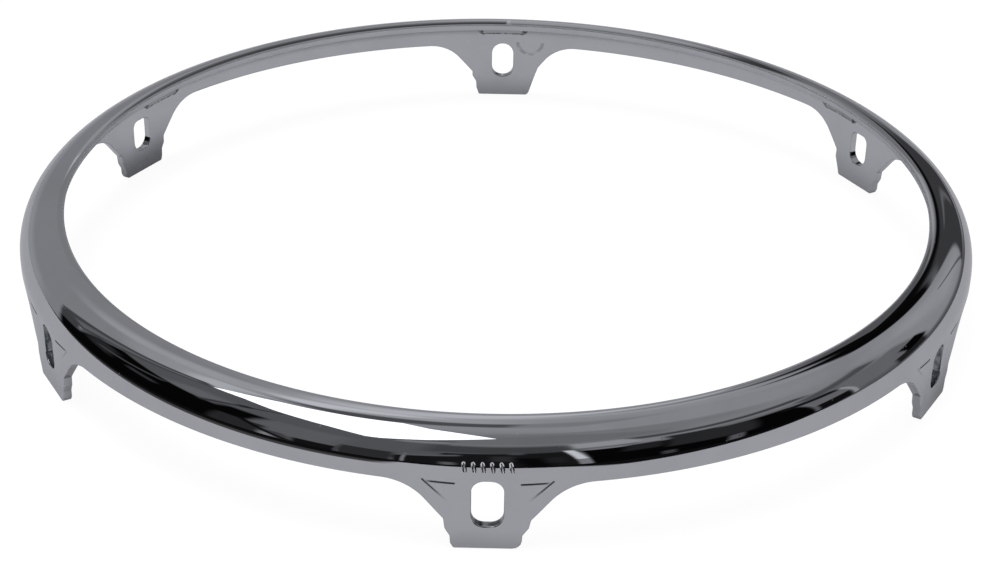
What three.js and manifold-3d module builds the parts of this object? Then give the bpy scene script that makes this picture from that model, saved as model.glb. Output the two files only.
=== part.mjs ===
// Drum hoop: a rolled metal rim with a domed crown and six slotted lug plates.
// Lengths are millimetres and +Z is up. The origin lies on the hoop's axis, level with the lug tips.
// The lug called front stands at -Y.
import * as THREE from 'three';
import { mergeVertices } from 'three/addons/utils/BufferGeometryUtils.js';
import Module from 'manifold-3d';

const wasm = await Module();
wasm.setup();

// Size of the drum head the hoop pulls down, and the room round it inside the crown.
const headDiameter = 317.5;
const headClearance = 1.5;

// The rolled ring: the crown is the round top, the collar the short straight wall below it.
const plateThickness = 3.3;
const crownRadius = 12.9;
const lipAngle = THREE.MathUtils.degToRad(18);
const collarHeight = 2.8;

// A lug plate from its foot upwards: how far each stretch of its side rises or widens.
const lugCount = 6;
const footHalfWidth = 10.3;
const footChamferWidth = 1.3;
const footChamferRise = 2;
const stepRise = 2.9;
const stepFlareWidth = 2;
const stepFlareRise = 2.6;
const shoulderRise = 3.3;
const lugFilletRadius = 17.6;
const lugFlankAngle = THREE.MathUtils.degToRad(50);
const lugFlatHalfWidth = 10;

// How far a lug plate reaches up into the collar.
const lugSeat = 1.8;

// The slot for the tension hook, and the metal left above it.
const slotWidth = 10.1;
const slotHeight = 16.9;
const slotFootHeight = 8.2;
const slotTopMargin = 0.8;
const slotCornerRadius = 4.1;

// Two pressed creases on each side of the slot, with their ends measured down from the lug's top.
const creaseWidth = 0.5;
const creaseDepth = 0.35;
const creaseDrop = 1.6;
const creaseInner = 10.4;
const creaseLength = 7.4;
const slantTopDrop = 0.9;
const slantFootDrop = 8.6;
const slantFootX = 11.7;
const slantReach = 8;

// The bracing strap under the crown above each lug, and the weld along each side of it.
const strapWidth = 17.6;
const strapThickness = 1.5;
const strapEndAngle = THREE.MathUtils.degToRad(62);
const weldLeg = 1.6;
const weldBulge = 0.3;
const weldEndAngle = THREE.MathUtils.degToRad(30);

// Plain punch marks on the crown above the front lug.
const markCount = 6;
const markPitch = 2.9;
const markWidth = 0.9;
const markHeight = 3.2;
const markDepth = 0.35;
const markAngle = THREE.MathUtils.degToRad(70);

// Room left between fitted pieces, and how far a cutter runs past what it cuts.
const weldGap = 0.3;
const overrun = 5;

// How finely the curves are divided.
const ringSegments = 144;
const crownSteps = 12;
const insideSteps = 10;
const roundSteps = 5;
const filletSteps = 8;
const beadSteps = 8;

// Everything below follows from the sizes above.
const openingRadius = headDiameter / 2 + headClearance;
const crownCentreRadius = openingRadius + crownRadius * Math.sin(lipAngle);
const insideRadius = crownRadius - plateThickness;
const slotTopHeight = slotFootHeight + slotHeight;
const lugTopHeight = slotTopHeight + slotTopMargin;
const collarEdgeHeight = lugTopHeight - lugSeat;
const crownCentreHeight = collarEdgeHeight + collarHeight;
const hoopHeight = crownCentreHeight + crownRadius;
const stepHalfWidth = footHalfWidth + footChamferWidth;
const shoulderHalfWidth = stepHalfWidth + stepFlareWidth;
const stepTopHeight = footChamferRise + stepRise;
const shoulderFootHeight = stepTopHeight + stepFlareRise;
const shoulderTopHeight = shoulderFootHeight + shoulderRise;
const creaseHeight = lugTopHeight - creaseDrop;
const creaseOuter = creaseInner + creaseLength;
const slantTopX = slantFootX + slantReach;
const slantTopZ = lugTopHeight - slantTopDrop;
const slantFootZ = lugTopHeight - slantFootDrop;
const outerRadius = crownCentreRadius + crownRadius;
const collarInnerRadius = outerRadius - plateThickness;
const strapOuterRadius = insideRadius - weldGap;
const strapInnerRadius = strapOuterRadius - strapThickness;
const filletEndHeight = collarEdgeHeight - lugFilletRadius * (1 - Math.cos(lugFlankAngle));
const filletEndX = shoulderHalfWidth + (filletEndHeight - shoulderTopHeight) / Math.tan(lugFlankAngle);
const lugHalfWidth = filletEndX + lugFilletRadius * Math.sin(lugFlankAngle);
const cutterDepth = outerRadius - openingRadius + 2 * overrun;
const quarterTurn = Math.PI / 2;

const lugNames = ['front', 'right_front', 'right_back', 'back', 'left_back', 'left_front'];

const chrome = { color: 0xc4c6ca, roughness: 0.08, metalness: 1 };
const weldMetal = { color: 0x8d8f93, roughness: 0.35, metalness: 1 };

// A point of the crown's section at an angle from straight up, positive outwards.
function crownPoint(radius, angle) {
  return new THREE.Vector2(
    crownCentreRadius + radius * Math.sin(angle),
    crownCentreHeight + radius * Math.cos(angle),
  );
}

// Points of the crown's section from one angle to another.
function crownArc(radius, from, to, steps) {
  const points = [];
  for (let i = 0; i <= steps; i += 1) {
    points.push(crownPoint(radius, from + ((to - from) * i) / steps));
  }
  return points;
}

// A closed section turned once round the hoop's axis.
function turned(section) {
  const closed = [...section, section[0].clone()];
  const geometry = new THREE.LatheGeometry(closed, ringSegments);
  return geometry.rotateX(quarterTurn);
}

// A three geometry as a solid that can be cut.
function toSolid(geometry) {
  const bare = new THREE.BufferGeometry();
  bare.setAttribute('position', geometry.getAttribute('position').clone());
  if (geometry.index) {
    bare.setIndex(geometry.index.clone());
  }
  const merged = mergeVertices(bare, weldGap / 1000);
  const vertProperties = Float32Array.from(merged.getAttribute('position').array);
  const triVerts = Uint32Array.from(merged.index.array);
  return new wasm.Manifold(new wasm.Mesh({ numProp: 3, vertProperties, triVerts }));
}

// A cut solid back as a three geometry.
function toGeometry(solid) {
  const mesh = solid.getMesh();
  const geometry = new THREE.BufferGeometry();
  geometry.setAttribute('position', new THREE.BufferAttribute(Float32Array.from(mesh.vertProperties), 3));
  geometry.setIndex(Array.from(mesh.triVerts));
  const flat = geometry.toNonIndexed();
  flat.computeVertexNormals();
  return flat;
}

// An outline seen from the front, given depth along Y and centred on a distance from the axis.
function uprightPrism(outline, depth, distance) {
  const geometry = new THREE.ExtrudeGeometry(outline, { depth, bevelEnabled: false });
  geometry.rotateX(quarterTurn);
  return geometry.translate(0, depth / 2 - distance, 0);
}

// Half of a lug's outline from the collar down to the foot, on the side given by its sign.
function lugSide(side) {
  const points = [];
  for (let i = 0; i <= filletSteps; i += 1) {
    const angle = (lugFlankAngle * i) / filletSteps;
    const x = lugHalfWidth - weldGap - lugFilletRadius * Math.sin(angle);
    const z = collarEdgeHeight - lugFilletRadius * (1 - Math.cos(angle));
    points.push(new THREE.Vector2(side * x, z));
  }
  points.push(new THREE.Vector2(side * shoulderHalfWidth, shoulderTopHeight));
  points.push(new THREE.Vector2(side * shoulderHalfWidth, shoulderFootHeight));
  points.push(new THREE.Vector2(side * stepHalfWidth, stepTopHeight));
  points.push(new THREE.Vector2(side * stepHalfWidth, footChamferRise));
  points.push(new THREE.Vector2(side * footHalfWidth, 0));
  return points;
}

function lugOutline() {
  const top = lugTopHeight - weldGap;
  const topX = lugHalfWidth - weldGap;
  return new THREE.Shape([
    new THREE.Vector2(-topX, top),
    ...lugSide(-1),
    ...lugSide(1).reverse(),
    new THREE.Vector2(topX, top),
  ]);
}

// The slot's outline: a rectangle with four rounded corners.
function slotOutline() {
  const halfWidth = slotWidth / 2 - slotCornerRadius;
  const low = slotFootHeight + slotCornerRadius;
  const high = slotTopHeight - slotCornerRadius;
  const corners = [[halfWidth, high], [-halfWidth, high], [-halfWidth, low], [halfWidth, low]];
  const points = [];
  corners.forEach(([x, z], quarter) => {
    for (let i = 0; i <= roundSteps; i += 1) {
      const angle = quarterTurn * (quarter + i / roundSteps);
      const across = x + slotCornerRadius * Math.cos(angle);
      const up = z + slotCornerRadius * Math.sin(angle);
      points.push(new THREE.Vector2(across, up));
    }
  });
  return new THREE.Shape(points);
}

// A lug plate seen from above: flat in its middle, then bent to follow the collar.
function lugPlan() {
  const bends = [-1, -0.8, -0.6, 0.6, 0.8, 1];
  const edges = bends.map((share) => Math.asin((share * lugHalfWidth) / collarInnerRadius));
  const flat = Math.asin(lugFlatHalfWidth / outerRadius);
  const angles = [...edges.slice(0, 3), -flat, flat, ...edges.slice(3)];
  const ring = (radius) => angles.map(
    (angle) => new THREE.Vector2(radius * Math.sin(angle), -radius * Math.cos(angle)),
  );
  return new THREE.Shape([...ring(outerRadius), ...ring(collarInnerRadius).reverse()]);
}

// A shallow crease cut into the facet beside the lug's flat middle, from one point to another.
function creaseCutter(fromX, fromZ, toX, toZ) {
  const length = Math.hypot(toX - fromX, toZ - fromZ);
  const bar = new THREE.BoxGeometry(length, 2 * creaseDepth, creaseWidth);
  bar.rotateY(-Math.atan2(toZ - fromZ, toX - fromX));
  const x = (fromX + toX) / 2;
  const distance = Math.sqrt(outerRadius ** 2 - x ** 2);
  bar.rotateZ(Math.asin(x / outerRadius));
  return toSolid(bar.translate(x, -distance, (fromZ + toZ) / 2));
}

function lugGeometry() {
  const plan = new THREE.ExtrudeGeometry(lugPlan(), { depth: hoopHeight, bevelEnabled: false });
  let solid = toSolid(plan);
  solid = solid.intersect(toSolid(uprightPrism(lugOutline(), cutterDepth, collarInnerRadius)));
  solid = solid.subtract(toSolid(uprightPrism(slotOutline(), cutterDepth, collarInnerRadius)));
  [-1, 1].forEach((side) => {
    solid = solid.subtract(creaseCutter(side * creaseInner, creaseHeight, side * creaseOuter, creaseHeight));
    solid = solid.subtract(creaseCutter(side * slantFootX, slantFootZ, side * slantTopX, slantTopZ));
  });
  return toGeometry(solid);
}

// The ring's section: crown outside, down the collar, back up inside.
function ringSection() {
  return [
    ...crownArc(crownRadius, -lipAngle, quarterTurn, crownSteps),
    new THREE.Vector2(outerRadius, collarEdgeHeight),
    new THREE.Vector2(collarInnerRadius, collarEdgeHeight),
    ...crownArc(insideRadius, quarterTurn, -lipAngle, insideSteps),
  ].reverse();
}

// The room a lug plate takes in the ring's collar.
function lugNotch() {
  const width = 2 * lugHalfWidth;
  const box = new THREE.BoxGeometry(width, cutterDepth, lugTopHeight);
  return box.translate(0, -collarInnerRadius, lugTopHeight / 2);
}

// One punch mark, its long side up the crown.
function markCutter(x) {
  const box = new THREE.BoxGeometry(markWidth, 2 * markDepth, markHeight);
  box.rotateX(markAngle - quarterTurn);
  const place = crownPoint(crownRadius, markAngle);
  box.translate(0, -place.x, place.y);
  return toSolid(box.rotateZ(x / place.x));
}

function ringGeometry() {
  let solid = toSolid(turned(ringSection()));
  for (let i = 0; i < lugCount; i += 1) {
    solid = solid.subtract(toSolid(lugNotch().rotateZ((2 * Math.PI * i) / lugCount)));
  }
  for (let i = 0; i < markCount; i += 1) {
    solid = solid.subtract(markCutter((i - (markCount - 1) / 2) * markPitch));
  }
  return toGeometry(solid);
}

// The strap lines the inside of the crown from its lip outwards.
function strapGeometry() {
  const section = [
    ...crownArc(strapOuterRadius, -lipAngle, strapEndAngle, insideSteps),
    ...crownArc(strapInnerRadius, strapEndAngle, -lipAngle, insideSteps),
  ].reverse();
  const box = new THREE.BoxGeometry(strapWidth, cutterDepth, hoopHeight);
  box.translate(0, -collarInnerRadius, hoopHeight / 2);
  return toGeometry(toSolid(turned(section)).intersect(toSolid(box)));
}

// The line a weld follows along one side of a strap.
class WeldPath extends THREE.Curve {
  constructor(x) {
    super();
    this.x = x;
  }

  getPoint(t, target = new THREE.Vector3()) {
    const angle = -lipAngle + (weldEndAngle + lipAngle) * t;
    const point = crownPoint(strapInnerRadius, angle);
    return target.set(this.x, -Math.sqrt(point.x ** 2 - this.x ** 2), point.y);
  }
}

// A fillet weld between a strap's side and the crown above it.
function weldGeometry(side) {
  const tall = strapThickness;
  const middle = new THREE.Vector2(-side * (weldLeg / 2 + weldBulge), tall / 2 - weldBulge);
  const outline = new THREE.Shape([
    new THREE.Vector2(0, 0),
    middle,
    new THREE.Vector2(-side * weldLeg, tall),
    new THREE.Vector2(0, tall),
  ]);
  const path = new WeldPath(side * (strapWidth / 2 + weldGap));
  return new THREE.ExtrudeGeometry(outline, { steps: beadSteps, extrudePath: path });
}

// A named sub-part with its own material, turned to its place round the hoop.
function piece(name, geometry, look, turn) {
  const mesh = new THREE.Mesh(geometry, new THREE.MeshStandardMaterial(look));
  mesh.name = name;
  mesh.rotation.z = turn;
  return mesh;
}

const group = new THREE.Group();
group.name = 'drum_hoop';
group.add(piece('crown_ring', ringGeometry(), chrome, 0));

lugNames.forEach((place, index) => {
  const turn = (2 * Math.PI * index) / lugCount;
  group.add(piece(`lug_plate_${place}`, lugGeometry(), chrome, turn));
  group.add(piece(`brace_strap_${place}`, strapGeometry(), chrome, turn));
  group.add(piece(`strap_weld_a_${place}`, weldGeometry(-1), weldMetal, turn));
  group.add(piece(`strap_weld_b_${place}`, weldGeometry(1), weldMetal, turn));
});

export default group;
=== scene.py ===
# %% [markdown]
# A chrome drum hoop: the metal rim that pulls a drum head down onto its shell. The CAD model is the
# fixed frame that we work around. It gives every size and place, so this lesson only adds what a
# coarse solid can't show: smooth rolled curves, small rounded edges, weld beads, and plated metal.
# Chrome is a mirror, so half of its look is the room around it. The last cells build that room.

# %% Load the frame
import math

import bmesh
import bpy
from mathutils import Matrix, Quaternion, Vector


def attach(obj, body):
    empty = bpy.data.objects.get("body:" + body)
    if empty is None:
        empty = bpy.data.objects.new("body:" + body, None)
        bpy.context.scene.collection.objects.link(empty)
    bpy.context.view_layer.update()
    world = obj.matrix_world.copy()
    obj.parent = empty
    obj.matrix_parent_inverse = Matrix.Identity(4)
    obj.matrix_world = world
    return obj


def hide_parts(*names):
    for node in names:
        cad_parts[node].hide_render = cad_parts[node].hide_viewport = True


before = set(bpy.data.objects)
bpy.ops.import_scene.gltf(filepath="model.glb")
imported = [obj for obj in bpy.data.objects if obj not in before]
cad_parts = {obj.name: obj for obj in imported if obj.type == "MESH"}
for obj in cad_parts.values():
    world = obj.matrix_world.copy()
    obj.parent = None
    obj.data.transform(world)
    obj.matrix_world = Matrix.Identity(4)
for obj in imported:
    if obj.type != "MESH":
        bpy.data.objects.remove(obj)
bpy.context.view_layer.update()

# %% [markdown]
# The hoop's sizes, in millimetres as a maker would note them. A factor turns them into Blender's
# metres at the moment a point is placed. The ring stands on its six lug feet at height zero, and the
# lug called front looks along minus Y. A lug takes up a whole number of the ring's divisions, and is
# divided a little more coarsely itself, so that none of its edges runs along a column of faces.

# %% Sizes
MM = 0.001
CROWN_CENTRE_R = 164.23632
CROWN_CENTRE_Z = 26.9
CROWN_R = 12.9
PLATE = 3.3
INSIDE_R = CROWN_R - PLATE
LIP_ANGLE = 18.0
OUTER_R = CROWN_CENTRE_R + CROWN_R
INNER_R = OUTER_R - PLATE
SEAM_Z = 25.9
COLLAR_Z = 24.1
RING_STEPS = 336
STEP = 360.0 / RING_STEPS
LUG_SPAN = 10 * STEP
LUG_COLUMNS = 8
COLUMN = LUG_SPAN / LUG_COLUMNS
EDGE_ROUND = 0.4
LUG_PLACES = ("front", "right_front", "right_back", "back", "left_back", "left_front")
LUG_PITCH = 360.0 / len(LUG_PLACES)
print("outside diameter:", round(2 * OUTER_R, 1), "mm, lug half angle:", round(LUG_SPAN, 2))

# %% [markdown]
# Edit mode works on whatever is selected, so a few small helpers do the choosing. They open a single
# object for editing, select points, edges or faces by a test on their place, and measure where a
# point stands: its distance from the hoop's axis, and its angle from the front, growing to the right.

# %% Helpers for choosing
def angle_of(point):
    """Degrees round the hoop's axis from the front, positive to the right."""
    return math.degrees(math.atan2(point.x, -point.y))


def from_axis(point):
    """Distance from the hoop's axis in millimetres."""
    return math.hypot(point.x, point.y) / MM


def pick_only(piece):
    bpy.ops.object.select_all(action="DESELECT")
    piece.select_set(True)
    bpy.context.view_layer.objects.active = piece


def open_for_editing(piece):
    pick_only(piece)
    bpy.ops.object.mode_set(mode="EDIT")


def choose(kind, test):
    """Select the VERT, EDGE or FACE items of the open mesh that pass a test, and nothing else."""
    bpy.ops.mesh.select_mode(type=kind)
    bpy.ops.mesh.select_all(action="DESELECT")
    mesh = bmesh.from_edit_mesh(bpy.context.edit_object.data)
    items = {"VERT": mesh.verts, "EDGE": mesh.edges, "FACE": mesh.faces}[kind]
    chosen = [item for item in items if test(item)]
    for item in chosen:
        item.select_set(True)
    mesh.select_flush_mode()
    bmesh.update_edit_mesh(bpy.context.edit_object.data)
    return len(chosen)


def choose_all(kind="VERT"):
    bpy.ops.mesh.select_mode(type=kind)
    bpy.ops.mesh.select_all(action="SELECT")


def finish_editing(piece):
    bpy.ops.object.mode_set(mode="OBJECT")
    print(piece.name, "points:", len(piece.data.vertices), "faces:", len(piece.data.polygons))


# %% [markdown]
# Most parts here start as a drawn outline. A plane is merged to a single point, and that point is
# extruded from place to place, as one draws a line in edit mode. A closed outline is filled with one
# face, which is then pushed or spun into a solid. The spin tool turns against the right-hand rule,
# so its helper flips the angle.

# %% Draw, push and spin
def draw_outline(name, points):
    """Draw a closed outline through points given in millimetres, fill it, and leave it open."""
    bpy.ops.object.select_all(action="DESELECT")
    bpy.ops.mesh.primitive_plane_add(size=MM, location=(0, 0, 0))
    piece = bpy.context.active_object
    piece.name = piece.data.name = name
    open_for_editing(piece)
    choose_all()
    bpy.ops.mesh.merge(type="CENTER")
    choose_all()
    here = Vector((0, 0, 0))
    for number, point in enumerate(points):
        there = Vector(point) * MM
        if number == 0:
            bpy.ops.transform.translate(value=there)
        else:
            bpy.ops.mesh.extrude_vertices_move(TRANSFORM_OT_translate={"value": there - here})
        here = there
    choose_all()
    bpy.ops.mesh.edge_face_add()
    return piece


def face_outwards():
    choose_all()
    bpy.ops.mesh.normals_make_consistent(inside=False)


def push(offset):
    """Extrude the open outline's face by an offset in millimetres into a solid."""
    choose_all("FACE")
    bpy.ops.mesh.extrude_region_move(TRANSFORM_OT_translate={"value": Vector(offset) * MM})


def spin(steps, degrees, centre=(0, 0, 0), axis=(0, 0, 1)):
    """Spin everything in the open mesh about an axis, right-handed."""
    choose_all()
    bpy.ops.mesh.spin(steps=steps, angle=-math.radians(degrees), center=Vector(centre) * MM, axis=axis)
    choose_all()
    bpy.ops.mesh.remove_doubles(threshold=0.01 * MM)
    face_outwards()


# %% Round, open and copy
def round_edges(size, segments):
    """Round the chosen edges by a size in millimetres."""
    bpy.ops.mesh.bevel(offset=size * MM, segments=segments, profile=0.5, affect="EDGES")


def drop_face():
    """Take away the outline's face and keep its edges."""
    choose_all("FACE")
    bpy.ops.mesh.delete(type="ONLY_FACE")


def copy_of(piece, name):
    """A copy of a piece, with its own mesh."""
    copy = piece.copy()
    copy.data = piece.data.copy()
    copy.name = copy.data.name = name
    bpy.context.collection.objects.link(copy)
    return copy


# %% [markdown]
# The rolled ring is one strip of metal, bent over at the top into a round crown whose inner lip turns
# a little down. The lip's cut end is rounded on both corners, and those small rounds catch the thin
# light lines seen along the opening. We walk once round the section and note its points.

# %% The ring's section
LIP_TOP_ROUND, LIP_LOW_ROUND = 0.35, 0.5
ARC_STEPS, INSIDE_STEPS, ROUND_STEPS = 54, 36, 6


def crown_point(radius, degrees):
    """A point of the crown's section in the front plane; degrees from straight up, positive outwards."""
    turn = math.radians(degrees)
    return Vector((0, -(CROWN_CENTRE_R + radius * math.sin(turn)), CROWN_CENTRE_Z + radius * math.cos(turn)))


def crown_arc(radius, start, end, steps):
    return [crown_point(radius, start + (end - start) * i / steps) for i in range(steps + 1)]


def section_way(degrees):
    """A direction in the front plane, measured like the crown's points."""
    turn = math.radians(degrees)
    return Vector((0, -math.sin(turn), math.cos(turn)))


def lip_corner(centre, size, start, end):
    """Points of a small round corner about a centre, between two directions."""
    turns = [start + (end - start) * i / ROUND_STEPS for i in range(ROUND_STEPS + 1)]
    return [centre + size * section_way(turn) for turn in turns]


def lip_round_angle(radius, size):
    """Where a round corner's centre at this radius just touches the lip's cut end."""
    return -LIP_ANGLE + math.degrees(math.asin(size / radius))


top_corner, low_corner = CROWN_R - LIP_TOP_ROUND, INSIDE_R + LIP_LOW_ROUND
top_angle, low_angle = lip_round_angle(top_corner, LIP_TOP_ROUND), lip_round_angle(low_corner, LIP_LOW_ROUND)
lip_side = -LIP_ANGLE - 90
section = [Vector((0, -OUTER_R, SEAM_Z))]
section += crown_arc(CROWN_R, 90, top_angle, ARC_STEPS)
section += lip_corner(crown_point(top_corner, top_angle), LIP_TOP_ROUND, top_angle, lip_side)[1:]
section += lip_corner(crown_point(low_corner, low_angle), LIP_LOW_ROUND, lip_side, low_angle - 180)
section += crown_arc(INSIDE_R, low_angle, 90, INSIDE_STEPS)[1:]
section.append(Vector((0, -INNER_R, SEAM_Z)))
print("section points:", len(section))

# %% [markdown]
# Spinning the section once round the axis gives the ring. Between the lugs the strip reaches a little
# further down as a short straight collar, which is drawn down from the ring's flat underside. Its
# lower edges are rounded, as buffing and plating leave them.

# %% Spin the ring and draw the collar down
LEVEL_REACH = 0.02
ring = draw_outline("crown_ring_smooth", section)
drop_face()
spin(RING_STEPS, 360)


def between_lugs(face):
    """True for a face of the ring's underside that lies between two lug plates."""
    middle = face.calc_center_median()
    level = abs(middle.z - SEAM_Z * MM) < LEVEL_REACH * MM and abs(face.normal.z) > 0.9
    from_lug = abs((angle_of(middle) + LUG_PITCH / 2) % LUG_PITCH - LUG_PITCH / 2)
    return level and from_lug > LUG_SPAN


def along_collar_rim(edge):
    """True for an edge that runs along the collar's lower rim, outside or inside."""
    a, b = (vert.co for vert in edge.verts)
    low = max(abs(a.z - COLLAR_Z * MM), abs(b.z - COLLAR_Z * MM)) < LEVEL_REACH * MM
    return low and abs(from_axis(a) - from_axis(b)) < 0.1


print("collar faces:", choose("FACE", between_lugs))
bpy.ops.mesh.extrude_region_move(TRANSFORM_OT_translate={"value": (0, 0, (COLLAR_Z - SEAM_Z) * MM)})
print("rim edges:", choose("EDGE", along_collar_rim))
round_edges(EDGE_ROUND, 3)
face_outwards()
finish_editing(ring)

# %% [markdown]
# A row of six plain punch marks stands on the crown above the front lug. Each is the print of a small
# round-ended punch with sloping sides, which catch the light from above. The punch is a cube stretched
# to size, with its long corners rounded off and its tip drawn in. It is laid on the crown's slope,
# leaning a little to the left, and taken away from the ring.

# %% Punch marks
MARK_COUNT, MARK_PITCH, MARK_ANGLE = 6, 2.9, 75.5
MARK_SIZE, MARK_LEAN = (2.4, 1.0, 5.4), -12.0
MARK_ROUND, MARK_TIP_SHARES = 1.15, (0.2, 1, 0.5)


def cut_with(piece, tool, operation="DIFFERENCE"):
    """Apply one exact boolean cut and throw the tool away."""
    pick_only(piece)
    cut = piece.modifiers.new("cut", "BOOLEAN")
    cut.operation, cut.solver, cut.object = operation, "EXACT", tool
    bpy.ops.object.modifier_apply(modifier=cut.name)
    bpy.data.objects.remove(tool)
    open_for_editing(piece)
    choose_all()
    bpy.ops.mesh.remove_doubles(threshold=0.002 * MM)
    bpy.ops.object.mode_set(mode="OBJECT")


for number in range(MARK_COUNT):
    bpy.ops.object.select_all(action="DESELECT")
    bpy.ops.mesh.primitive_cube_add(size=MM, location=(0, 0, 0))
    punch = bpy.context.active_object
    open_for_editing(punch)
    choose_all()
    bpy.ops.transform.resize(value=MARK_SIZE)
    choose("EDGE", lambda edge: abs(edge.verts[0].co.y - edge.verts[1].co.y) > 0.5 * MM)
    round_edges(MARK_ROUND, 5)
    choose("VERT", lambda vert: vert.co.y > 0)
    bpy.ops.transform.resize(value=MARK_TIP_SHARES)
    bpy.ops.object.mode_set(mode="OBJECT")
    place = crown_point(CROWN_R, MARK_ANGLE)
    aside = (number - (MARK_COUNT - 1) / 2) * MARK_PITCH / -place.y
    punch.rotation_mode = "QUATERNION"
    slope = Quaternion((1, 0, 0), math.radians(MARK_ANGLE - 90))
    lean = Quaternion((0, 1, 0), math.radians(MARK_LEAN))
    punch.rotation_quaternion = Quaternion((0, 0, 1), aside) @ (slope @ lean)
    punch.location = Vector((-place.y * math.sin(aside), place.y * math.cos(aside), place.z)) * MM
    cut_with(ring, punch)
print("ring after the marks:", len(ring.data.polygons), "faces")

# %% [markdown]
# A lug plate is a flat strip, flat in its middle and bent to the collar's curve at its sides. We spin
# a bar through the lug's span and flatten its middle columns below the joint. Then it is cut to its
# outline and slotted, much as a press would do. The lugs are finished by hand on a grinding wheel,
# so no two sides have quite the same steps, and each side has its own list of corners.

# %% Bend the lug's blank
FLAT_TOP_Z = 20.5
FLAT_COLUMNS = 3
NEAR = 0.5


def on_span(radius, degrees, z):
    turn = math.radians(degrees)
    return (radius * math.sin(turn), -radius * math.cos(turn), z)


end_face = ((OUTER_R, 0), (OUTER_R, SEAM_Z), (INNER_R, SEAM_Z), (INNER_R, 0))
blank = draw_outline("lug_blank", [on_span(radius, -LUG_SPAN, z) for radius, z in end_face])
spin(2 * LUG_COLUMNS, 2 * LUG_SPAN)
choose_all()
bpy.ops.mesh.bisect(plane_co=(0, 0, FLAT_TOP_Z * MM), plane_no=(0, 0, 1))


def on_flat(radius):
    """A test for points of the blank's middle columns, below the joint, on one of its two faces."""
    reach = (FLAT_COLUMNS + 0.5) * COLUMN
    top = (FLAT_TOP_Z + NEAR) * MM

    def test(vert):
        on_face = abs(from_axis(vert.co) - radius) < NEAR
        return on_face and abs(angle_of(vert.co)) < reach and vert.co.z < top

    return test


for radius in (OUTER_R, INNER_R):
    chord = radius * math.cos(math.radians(FLAT_COLUMNS * COLUMN))
    print("flattened points at radius", round(radius, 1), ":", choose("VERT", on_flat(radius)))
    bpy.ops.transform.resize(value=(1, 0, 1), center_override=(0, -chord * MM, 0))
finish_editing(blank)

# %% Outlines of the lugs
LUG_FILLET = 17.6
FLANK = math.radians(50)
FILLET_STEPS = 14
SHOULDER_X, SHOULDER_Z = 13.6, 10.8
CLEAR = 4.0
fillet_end_z = COLLAR_Z - LUG_FILLET * (1 - math.cos(FLANK))
fillet_end_x = SHOULDER_X + (fillet_end_z - SHOULDER_Z) / math.tan(FLANK)
fillet_start_x = fillet_end_x + LUG_FILLET * math.sin(FLANK)

# Corners of a lug's side from the shoulder to the foot: distance from the middle, height, rounding.
SIDES = {
    "stepped": ((13.6, 10.8, 0.6), (13.2, 7.3, 1.3), (11.6, 4.5, 0.9), (11.45, 1.8, 1), (10.45, 0, 0.7)),
    "round_foot": ((13.5, 10.7, 0.7), (12.9, 7.8, 1.4), (10.95, 5.0, 0.9), (10.6, 0, 3.0)),
    "worn": ((13.6, 10.8, 0.6), (13.2, 7.3, 1.3), (11.8, 4.5, 0.9), (11.6, 1.8, 0.5), (10.6, 0, 1.5)),
    "plain": ((16.2, 13.6, 5.0), (14.6, 9.0, 5.0), (12.1, 1.1, 0.9), (11.1, 0, 0.7)),
    "notched": ((13.7, 11.2, 0.6), (13.7, 9.2, 0.7), (12.0, 6.2, 0.9), (11.8, 3.2, 0.9), (10.7, 0, 0.7)),
    "soft": ((13.6, 10.8, 1.4), (13.8, 7.6, 1.8), (12.0, 3.0, 3.0), (10.9, 0, 0.7)),
    "shallow": ((13.5, 10.6, 0.7), (13.4, 7.6, 0.9), (11.95, 5.2, 0.9), (11.7, 2.0, 0.9), (11.0, 0, 0.7)),
}
# For each lug, its left and right side as seen from outside the hoop.
LUG_SIDES = {
    "front": ("stepped", "round_foot"), "right_front": ("stepped", "shallow"),
    "right_back": ("stepped", "soft"), "back": ("plain", "notched"),
    "left_back": ("shallow", "stepped"), "left_front": ("soft", "worn"),
}


def soften(corners, steps=4):
    """Round the corners of a line of (x, z, radius), where the radius isn't zero, and give it as (x, z)."""
    points = [corners[0][:2]]
    for before, (x, z, size), after in zip(corners, corners[1:], corners[2:]):
        here = Vector((x, z))
        if size == 0:
            points.append(tuple(here))
            continue
        back, on = (Vector(before[:2]) - here).normalized(), (Vector(after[:2]) - here).normalized()
        half = (math.pi - back.angle(on)) / 2
        centre = here + (back + on).normalized() * size / math.cos(half)
        start = here + back * size * math.tan(half) - centre
        end = here + on * size * math.tan(half) - centre
        first, swing = math.atan2(start.y, start.x), 2 * half
        if start.x * end.y - start.y * end.x < 0:
            swing = -swing
        for i in range(steps + 1):
            turn = first + swing * i / steps
            points.append((centre.x + size * math.cos(turn), centre.y + size * math.sin(turn)))
    points.append(corners[-1][:2])
    return points


def lug_side(name):
    """One side of a lug's outline from above the joint down to the middle of its foot."""
    line = [(fillet_start_x + CLEAR, SEAM_Z + CLEAR, 0), (fillet_start_x + CLEAR, COLLAR_Z, 0)]
    for i in range(FILLET_STEPS + 1):
        turn = FLANK * i / FILLET_STEPS
        x, z = fillet_start_x - LUG_FILLET * math.sin(turn), COLLAR_Z - LUG_FILLET * (1 - math.cos(turn))
        line.append((x, z, 0))
    return soften(line + list(SIDES[name]) + [(0, 0, 0)])[:-1]


def lug_outline(place):
    left, right = (lug_side(name) for name in LUG_SIDES[place])
    return right + [(-x, z) for x, z in reversed(left)]


print("points in the front lug's outline:", len(lug_outline("front")))

# %% Outline of the slot
SLOT_STEPS = 9
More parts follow.
